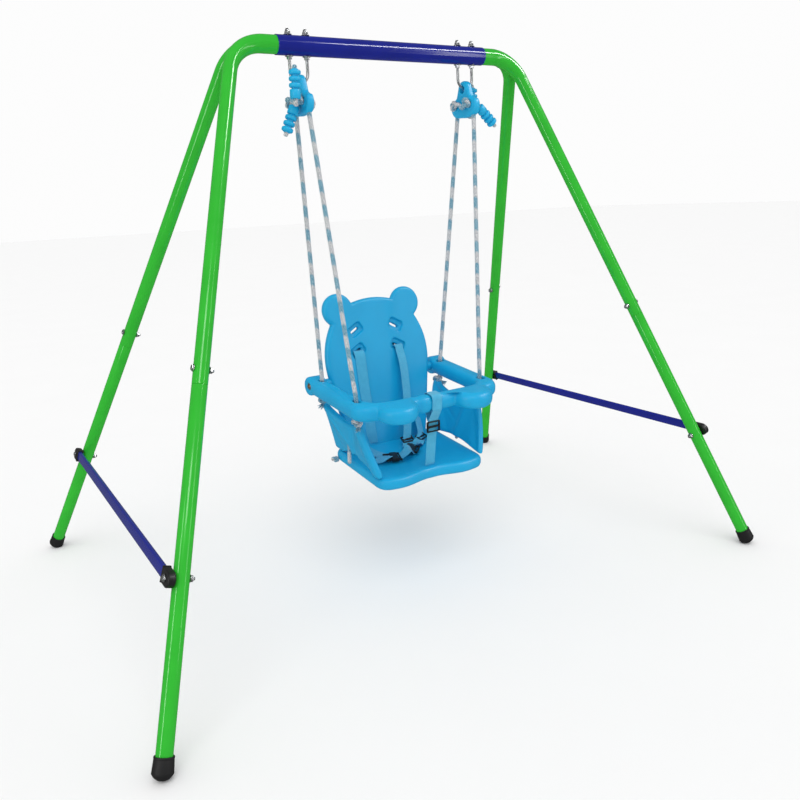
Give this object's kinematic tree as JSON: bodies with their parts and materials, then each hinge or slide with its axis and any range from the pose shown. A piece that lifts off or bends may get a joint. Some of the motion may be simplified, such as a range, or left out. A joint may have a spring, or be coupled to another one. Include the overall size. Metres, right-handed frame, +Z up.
{
  "type": "toddler swing set",
  "caption": "Free-standing steel A-frame swing with a moulded bucket seat on ropes, a hinged guard bar, strap slots and a crotch strap, for one toddler.",
  "frame": {"origin": "middle of the four feet, on the floor", "axes": "+X along the crossbar to the right, +Y to the back, +Z up; the child faces -Y"},
  "size_m": [1.4918, 1.1194, 1.202],
  "materials": {
    "green_paint": "gloss powder coat",
    "blue_paint": "gloss powder coat",
    "zinc_steel": "bright zinc plate",
    "black_rubber": "matt",
    "black_plastic": "fine moulded texture",
    "small_plastic": "satin",
    "seat_plastic": "satin blow moulding",
    "rope": "braided, white with flecked blue bands",
    "webbing": "woven",
    "buckle": "satin"
  },
  "bodies": {
    "frame": {"crossbar_sleeve": "blue_paint", "corner_tube_left": "green_paint", "rear_tube_left": "green_paint", "lower_leg_front_left": "green_paint", "joint_bolt_front_left": "zinc_steel", "foot_cap_front_left": "black_rubber", "lower_leg_rear_left": "green_paint", "joint_bolt_rear_left": "zinc_steel", "foot_cap_rear_left": "black_rubber", "brace_left": "blue_paint", "brace_cap_front_left": "black_plastic", "brace_bolt_front_left": "zinc_steel", "brace_cap_rear_left": "black_plastic", "brace_bolt_rear_left": "zinc_steel", "u_bolt_left": "zinc_steel", "u_bolt_nut_top_outer_left": "zinc_steel", "u_bolt_nut_under_outer_left": "zinc_steel", "u_bolt_nut_top_inner_left": "zinc_steel", "u_bolt_nut_under_inner_left": "zinc_steel", "corner_tube_right": "green_paint", "rear_tube_right": "green_paint", "lower_leg_front_right": "green_paint", "joint_bolt_front_right": "zinc_steel", "foot_cap_front_right": "black_rubber", "lower_leg_rear_right": "green_paint", "joint_bolt_rear_right": "zinc_steel", "foot_cap_rear_right": "black_rubber", "brace_right": "blue_paint", "brace_cap_front_right": "black_plastic", "brace_bolt_front_right": "zinc_steel", "brace_cap_rear_right": "black_plastic", "brace_bolt_rear_right": "zinc_steel", "u_bolt_right": "zinc_steel", "u_bolt_nut_top_outer_right": "zinc_steel", "u_bolt_nut_under_outer_right": "zinc_steel", "u_bolt_nut_top_inner_right": "zinc_steel", "u_bolt_nut_under_inner_right": "zinc_steel"},
    "swing": {"side_wing_left": "seat_plastic", "side_wing_right": "seat_plastic", "backrest": "seat_plastic", "seat_pan": "seat_plastic", "shoulder_strap_left": "webbing", "shoulder_strap_right": "webbing", "crotch_strap": "webbing", "rope_plate_left": "small_plastic", "rope_front_left": "rope", "rope_rear_left": "rope", "rope_plate_right": "small_plastic", "rope_front_right": "rope", "rope_rear_right": "rope", "tail_sleeve_front_left": "small_plastic", "tail_sleeve_rear_left": "small_plastic", "tail_sleeve_front_right": "small_plastic", "tail_sleeve_rear_right": "small_plastic"},
    "guard_bar": {"guard_bar": "seat_plastic", "guard_hinge_bolt_left": "zinc_steel", "guard_hinge_bolt_right": "zinc_steel", "crotch_loop": "webbing"},
    "crotch_slider": {"crotch_slider": "buckle"}
  },
  "joints": [
    {"name": "swing_pivot", "type": "hinge", "parent": "frame", "child": "swing", "pos_m": [0, -0.115, 1.101], "axis": [1, 0, 0], "range_deg": [-35, 35]},
    {"name": "guard_bar_lift", "type": "hinge", "parent": "swing", "child": "guard_bar", "pos_m": [0, -0.01084, 0.45495], "axis": [-1, 0, 0], "range_deg": [0, 12], "deforming": ["crotch_strap"]},
    {"name": "crotch_slider_slide", "type": "slide", "parent": "swing", "child": "crotch_slider", "axis": [0, 0.1643, -0.9864], "range_m": [0, 0.04]}
  ]
}
